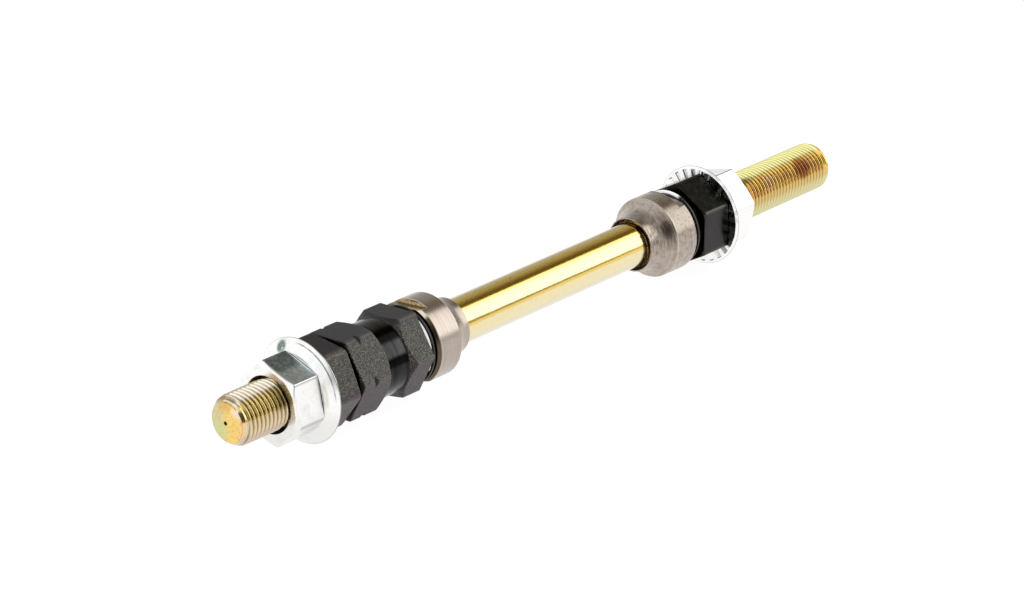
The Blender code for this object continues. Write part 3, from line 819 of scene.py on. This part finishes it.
def bright_zinc():
    at = start_finish("bright_zinc")
    cloud = noise(at.place, 0.5, 3.0, 0.6)
    grain = noise(at.place, 3.5, 4.0, 0.7)
    stain = noise(at.place, 1.1, 4.0, 0.65)
    colour = mix((0.95, 0.95, 0.93), (0.76, 0.80, 0.80), cloud.rise(0.45, 0.7) * 0.6)
    colour = mix(colour, (0.62, 0.65, 0.65), grain.rise(0.56, 0.74) * 0.5)
    # Painted shade: the lower side of the near pieces is greyer.
    colour = mix(colour, (0.70, 0.69, 0.66), sector(at, 270, 60, 30) * at.near * 0.5)
    colour = mix(colour, (0.93, 0.93, 0.92), at.far * 0.8)

    # Sides and corners of the nuts: the far nut's front facet is painted darker where it mirrors the
    # soft box, the corners carry painted dark lines, and one flat of the near nut a painted, mottled
    # blue-grey reflection.
    nut = at.radius.rise(6.9, 6.96) * (at.x.rise(*FAR_NUT_BASE) + at.x.fall(*NEAR_NUT_BASE))
    colour = mix(colour, (0.62, 0.62, 0.61), nut * at.far * sector(at, 134.3, 29, 1.5) * 0.9)
    colour = mix(colour, (0.36, 0.38, 0.38), nut * at.radius.rise(7.78, 7.96) * (0.6 - at.far * 0.5))
    painted_flat_reflection = mix((0.68, 0.84, 0.92), (0.18, 0.27, 0.34), stain.rise(0.40, 0.60) * 0.7)
    painted_flat_reflection = mix(painted_flat_reflection, (0.10, 0.15, 0.19), grain.rise(0.50, 0.64) * 0.55)
    painted_flat_reflection = mix(painted_flat_reflection, (0.08, 0.11, 0.13), sector(at, 90, 8, 18) * 0.5)
    painted_flat_reflection = mix(painted_flat_reflection, (0.78, 0.90, 0.96), sector(at, 134, 4, 26) * 0.5)
    flank = at.radius.rise(6.94, 6.98) * at.x.between(NEAR_NUT_BEVEL, NEAR_NUT_BASE)
    colour = mix(colour, painted_flat_reflection, flank * sector(at, 108.7, 29, 1.5))

    # Painted dark lines, as shade, on the near washer's brim and at the near nut's foot; a tan ring and
    # stains on the near washer and nut.
    rim_line = at.radius.band(9.22, 0.16) * sector(at, 132, 34, 12) * at.near
    foot_line = at.x.band(-66.1, 0.4) * sector(at, 160, 20, 6)
    blots = cloud.rise(0.35, 0.6) * 0.6 + 0.4
    tan_ring = at.radius.band(7.9, 0.5) * sector(at, 168, 10, 10) * at.near
    colour = mix(colour, (0.15, 0.17, 0.18), rim_line * blots + foot_line * 0.5)
    colour = mix(colour, (0.62, 0.57, 0.38), tan_ring * 0.6)
    colour = mix(colour, (0.10, 0.15, 0.13), spot(at, GREY_SMUDGE, 1.6) * stain.rise(0.25, 0.45) * 0.9)
    # An orange spot beside the near nut's bore.
    colour = mix(colour, (0.66, 0.36, 0.13), spot(at, ORANGE_SPOT_BY_BORE, 1.5) * stain.rise(0.2, 0.5) * 0.7)

    # Painted grey along the rims of both washers, painted shade on the far one's rim, and a painted
    # dark reflection of the black hexagon on the far washer's teeth.
    colour = mix(colour, (0.40, 0.41, 0.41), at.radius.rise(9.76, 9.82) * 0.7)
    rim_shade = at.far * at.radius.rise(9.3, 9.45) * sector(at, 140, 34, 10)
    colour = mix(colour, (0.50, 0.53, 0.51), rim_shade * cloud.rise(0.42, 0.58) * 0.6)
    teeth = at.radius.fall(9.2, 9.3) * at.x.between(FAR_TEETH_FROM, FAR_TEETH_TO)
    colour = mix(colour, (0.24, 0.27, 0.23), teeth * sector(at, 160, 48, 6) * cloud.fall(0.55, 0.62))

    # The mouth of the bores: painted dark shade inside, reaching further out round 150 degrees on the
    # near pieces, and a painted brown reflection of the thread round 72 degrees on the near ones.
    hollow = at.radius - sector(at, 150, 34, 14) * at.near * 0.3
    inside = mix((0.07, 0.045, 0.022), (0.62, 0.44, 0.24), sector(at, 72, 34, 14) * at.near)
    colour = mix(inside, colour, hollow.rise(5.34, 5.46))
    return feed(at, Base_Color=colour, Metallic=1.0, Roughness=0.16 - at.far * 0.07 + grain * 0.18,
                Normal=bump(grain + cloud, 0.2, 0.00005))


# %% [markdown]
# ## Plain washers
# Near, the plain washer's shoulder is painted white, as a highlight, under a rim painted black, as
# shade. Far, a white crescent is painted on the rim's face, as a highlight. The rest is painted black,
# as shade. The white parts also glow a little, as painted light, because they sit deep between black
# pieces.

# %% Plain washer finish
NEAR_RIM_FACE = (-37.77, -37.70)


def washer_zinc():
    at = start_finish("plain_washer_zinc")
    grain = noise(at.place, 3.0, 3.0, 0.6)
    # Painted highlights on the near shoulder and the far crescent, painted shade elsewhere, and a glow.
    shoulder = at.radius.fall(7.04, 7.12) * at.x.fall(*NEAR_RIM_FACE) * sector(at, 158, 46, 5)
    crescent = at.far * at.radius.rise(7.03, 7.08) * sector(at, 62, 42, 8)
    white = mix((0.97, 0.97, 0.95), (0.90, 0.90, 0.88), grain)
    colour = mix((0.02, 0.018, 0.016), white, shoulder + crescent)
    glow = shoulder * 0.7 + crescent * 0.4
    return feed(at, Base_Color=colour, Metallic=0.0, Roughness=0.4, Emission_Strength=1.0,
                Emission_Color=vector(glow, glow, glow), Normal=bump(grain, 0.15, 0.00004))


# %% [markdown]
# ## Black oxide
# The hexagon bar keeps its drawn surface under the black: sandy on the near pieces and glossy on
# the far locknut. The sand is painted brighter, and tinted, on the facets that face the soft box and
# the floor, one facet of the far locknut is painted lighter, and the corners carry a painted
# highlight. The waist, the bosses and the inner part of the faces are turned and shine, with fine
# rings from the tool, and painted dark bands where they mirror the hexagons. The bottom of the V
# groove is painted black, as shade.

# %% Black oxide finish
GROOVE_PLACE = -53.6


def black_oxide():
    at = start_finish("black_oxide")
    sand = noise(at.place, 4.0, 2.0, 0.75)
    dust = noise(at.place, 0.9, 4.0, 0.7)
    rings = noise(wound(at, 3.6, 0.5), 1.0, 3.0, 0.75)
    drawn = at.radius.rise(7.3, 7.45)

    # The drawn sides: sand specks, painted brighter on the facets facing the soft box and the floor,
    # yellow-green on the front and pink elsewhere; one far facet painted lighter; a painted highlight on
    # the corners; painted black shade in the V groove.
    front, low = sector(at, 148, 24, 8), sector(at, 215, 36, 8)
    dust_and_facet_light = (0.1 + front * 0.9 + low * 0.4) * (1 - at.far * 0.9)
    speck = mix((0.25, 0.13, 0.16), (0.165, 0.16, 0.115), front)
    sandy = (sand.rise(0.50, 0.58) * 0.85 + dust * 0.04) * dust_and_facet_light
    hexagon = mix((0.001, 0.001, 0.0012), speck, sandy)
    gloss = mix((0.012, 0.012, 0.008), (0.034, 0.036, 0.029), dust.rise(0.45, 0.70))
    gloss = mix(gloss, (0.048, 0.045, 0.047), sector(at, 180.3, 29, 2) * 0.8)
    hexagon = mix(hexagon, gloss, at.far)
    hexagon = mix(hexagon, (0.20, 0.18, 0.15), at.radius.rise(8.38, 8.56) * 0.3)
    groove = at.x.band(GROOVE_PLACE, 0.7) * at.radius.rise(8.0, 8.15)
    hexagon = mix(hexagon, (0.001, 0.001, 0.001), groove)

    # The turned parts: their shine is painted down in bands at 123 and 166 degrees and on the lower
    # side, as dark reflections of the hexagons.
    shine = (0.012 + rings.rise(0.3, 0.7) * 0.055) * (1 - sector(at, 123, 7, 9) * 0.92)
    shine = shine * (1 - sector(at, 166, 2, 7) * 0.88) * (1 - sector(at, 200, 28, 8) * 0.4)
    turned = vector(shine, shine, shine)
    dull = at.near * (1 - sector(at, 86.8, 27, 4) * 0.26)
    relief = sand * drawn * (1 - at.far * 0.9) + rings * (1 - drawn) * 0.6
    return feed(at, Base_Color=mix(turned, hexagon, drawn), Metallic=1 - drawn * dull, IOR=1.48,
                Roughness=0.14 + drawn * (1 - at.far * 0.85) * 0.24 + rings * 0.08,
                Normal=bump(relief, 0.45, 0.00006))


# %% [markdown]
# ## Turned steel
# The cones are hardened, turned and ground. Rings from the tool run round them, with a few darker
# streaks. The edge of the race carries a painted pale highlight, and the spanner flats keep their brown
# hardening scale. The far cone is painted darker where it mirrors the soft box. The near cone's outer
# bevel is painted pale on top and dark round the side, and its outer face is painted black, as shade.

# %% Turned steel finish
RACE_TO, RACE_BRINK = (30.2, 30.5), 30.62
FLATS_FROM, FLATS_TO = (34.5, 34.7), (36.0, 36.15)


def turned_steel():
    at = start_finish("ground_steel")
    rings = noise(wound(at, 5.6, 0.5), 1.0, 4.0, 0.8)
    streaks = noise(wound(at, 4.5, 2.2), 1.0, 3.0, 0.7)
    blotch = noise(at.place, 1.0, 4.0, 0.7)
    pits = noise(at.place, 2.4, 2.0, 0.6)
    scale_grain = noise(at.place, 4.5, 4.0, 0.75)
    race = at.along.fall(*RACE_TO)

    # The ground body and the race, painted darker on the far cone where it mirrors the soft box, with a
    # painted pale highlight along the race's edge
    colour = mix((0.49, 0.43, 0.375), (0.34, 0.29, 0.245), rings.rise(0.38, 0.72))
    colour = mix(colour, (0.22, 0.18, 0.14), blotch.rise(0.44, 0.68) * at.far * 0.65)
    colour = mix(colour, (0.30, 0.26, 0.21), sector(at, 142, 16, 8) * at.far * (1 - race) * 0.5)
    race_side = race * at.far * sector(at, 148, 20, 22)
    colour = mix(colour, (0.09, 0.07, 0.05), streaks.rise(0.46, 0.62) * race_side * 0.75)
    colour = mix(colour, (0.17, 0.13, 0.09), race_side * at.along.rise(27.6, 29.8) * 0.45)
    pitted = pits.rise(0.58, 0.68) * sector(at, 130, 30, 16) * at.far
    colour = mix(colour, (0.10, 0.08, 0.06), pitted * 0.6)
    colour = mix(colour, (0.88, 0.80, 0.62), at.along.band(RACE_BRINK, 0.2) * 0.4)

    # The spanner flats, and the near cone's outer bevel painted pale on top and dark round the side,
    # with its outer face painted black, as shade
    flat = at.along.between(FLATS_FROM, FLATS_TO) * at.radius.fall(7.6, 7.8)
    brown = mix((0.20, 0.135, 0.05), (0.60, 0.47, 0.26), scale_grain.rise(0.40, 0.66))
    colour = mix(colour, brown, flat * (1 - at.far * 0.7))
    chamfer = mix((0.12, 0.09, 0.06), (0.82, 0.74, 0.60), sector(at, 95, 26, 8))
    colour = mix(colour, chamfer, at.along.rise(36.0, 36.25) * at.near)
    colour = mix(colour, (0.008, 0.007, 0.006), at.along.rise(36.70, 36.78) * at.near)
    return feed(at, Base_Color=colour, Metallic=1.0, Roughness=0.22 + rings * 0.12,
                Normal=bump(rings + scale_grain * flat, 0.3, 0.00003))


# %% [markdown]
# ## Dress the pieces
# Each piece takes its finish, rides on the body that its node belongs to, and stands in for the
# node's plain solid.

# %% Dress the pieces
FINISH = {"gold_chromate": yellow_zinc(), "bright_zinc": bright_zinc(),
          "black_oxide": black_oxide(), "ground_steel": turned_steel()}
PLAIN_WASHER_FINISH = washer_zinc()
SLOT_OF = {part["node"]: part["material_slot"] for part in frame["record"]["subparts"]}
BODY_OF = {node: body for body, nodes in frame["record"]["behaviour"]["bodies"].items()
           for node in nodes}
dressed = {"axle": axle, **nuts, **nut_washers, **black_pieces, **plain_washers, **cones}
for node, piece in dressed.items():
    slot = SLOT_OF[node]
    piece.data.materials.append(PLAIN_WASHER_FINISH if node in plain_washers else FINISH[slot])
    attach(piece, BODY_OF[node])
    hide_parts(node)
    print(f"{piece.name} rides on {BODY_OF[node]} in {slot}")

# %% [markdown]
# ## Studio
# The axle lies on a white table. A large soft box stands at its front right, and the room is pale.
# A dark gap between soft box and ceiling gives the round pieces the dark line that shows their
# form. A dark corner behind the camera and a dark skirting board deepen the black pieces. The
# table glows for the camera and for mirroring metal, but lights the pieces only as plain grey.

# %% Floor, world and lamp
TABLE_HALF = 4.0
DARK_GAP = (0.689, 0.025, 0.725)
DARK_CORNER = (-0.62, -0.70, 0.35)
SKIRTING = (0.69, -0.72, 0.0)
GAP_STOPS = (
    (0.0, (0.88, 0.88, 0.88)), (0.12, (0.82, 0.82, 0.82)), (0.48, (0.78, 0.78, 0.78)),
    (0.56, (0.56, 0.56, 0.56)), (0.707, (0.424, 0.424, 0.424)), (0.83, (0.38, 0.375, 0.36)),
    (0.92, (0.34, 0.325, 0.30)), (0.98, (0.20, 0.16, 0.10)), (1.0, (0.09, 0.06, 0.03)),
)
ROOM_STRENGTH = 1.25


def make_floor():
    mesh = bpy.data.meshes.new("table")
    height = -WASHER_RIM * MM
    mesh.from_pydata([(x * TABLE_HALF, y * TABLE_HALF, height)
                      for x, y in ((-1, -1), (1, -1), (1, 1), (-1, 1))], [], [(0, 1, 2, 3)])
    table = bpy.data.objects.new("table", mesh)
    bpy.context.scene.collection.objects.link(table)
    material = bpy.data.materials.new("white_table")
    material.use_nodes = True
    tree = material.node_tree
    tree.nodes.clear()
    wire = Wire(tree)
    camera_ray, glossy_ray, through_ray = (
        wire.node("ShaderNodeLightPath", output=name)
        for name in ("Is Camera Ray", "Is Glossy Ray", "Is Transmission Ray"))
    seen = wire.math("MINIMUM", camera_ray + glossy_ray + through_ray, 1.0)
    plain = wire.node("ShaderNodeBsdfDiffuse", {}, {"Color": (0.75, 0.75, 0.75, 1.0)})
    shaded = wire.node("ShaderNodeBsdfDiffuse", {}, {"Color": (0.15, 0.135, 0.14, 1.0)})
    glow = wire.node("ShaderNodeEmission", {}, {"Color": (1.0, 1.0, 1.0, 1.0), "Strength": 0.95})
    white = wire.node("ShaderNodeAddShader", {}, {0: shaded, 1: glow})
    out = wire.node("ShaderNodeMixShader", {}, {0: seen, 1: plain, 2: white})
    end = tree.nodes.new("ShaderNodeOutputMaterial")
    tree.links.new(out.socket, end.inputs["Surface"])
    mesh.materials.append(material)


def make_world():
    world = bpy.data.worlds.new("studio")
    world.use_nodes = True
    bpy.context.scene.world = world
    tree = world.node_tree
    wire = Wire(tree)
    direction = wire.node("ShaderNodeTexCoord", output="Generated")

    def along(axis):
        """The cosine of the angle between a line of sight and `axis`."""
        return wire.node("ShaderNodeVectorMath", {"operation": "DOT_PRODUCT"},
                         {0: direction, 1: tuple(axis)}, output="Value")

    gap = wire.node("ShaderNodeValToRGB", {}, {0: along(Vector(DARK_GAP).normalized())})
    ramp = gap.socket.node.color_ramp
    while len(ramp.elements) < len(GAP_STOPS):
        ramp.elements.new(0.5)
    for element, (position, colour) in zip(ramp.elements, GAP_STOPS):
        element.position = position
        element.color = (*colour, 1.0)
    skirting = along(SKIRTING).rise(0.70, 0.82) * along((0, 0, 1)).fall(0.09, 0.15)
    colour = mix(gap, (0.24, 0.22, 0.18), skirting)
    corner = along(Vector(DARK_CORNER).normalized()).rise(0.85, 0.95)
    colour = mix(colour, (0.06, 0.055, 0.05), corner)
    tree.links.new(colour.socket, tree.nodes["Background"].inputs["Color"])
    tree.nodes["Background"].inputs["Strength"].default_value = ROOM_STRENGTH


def make_lamp(name, direction, upright, distance, width, height, brightness):
    """A soft box whose surface has a radiance of `brightness`: power = pi x area x brightness.

    Its width lies across both the line to the object and `upright`, which its height follows.
    """
    data = bpy.data.lights.new(name, "AREA")
    data.shape = "RECTANGLE"
    data.size, data.size_y = width, height
    data.energy = math.pi * width * height * brightness
    lamp = bpy.data.objects.new(name, data)
    towards = Vector(direction).normalized()
    across = Vector(upright).cross(towards).normalized()
    turn = Matrix((across, towards.cross(across), towards)).transposed()
    lamp.location = towards * distance
    lamp.rotation_euler = turn.to_euler()
    bpy.context.scene.collection.objects.link(lamp)


make_floor()
make_world()
make_lamp("soft_box", (0.689, -0.504, 0.5215), (0.0, 0.628, 0.607),
          distance=1.5, width=1.5, height=1.42, brightness=1.6)
bpy.context.scene.view_settings.view_transform = "Standard"
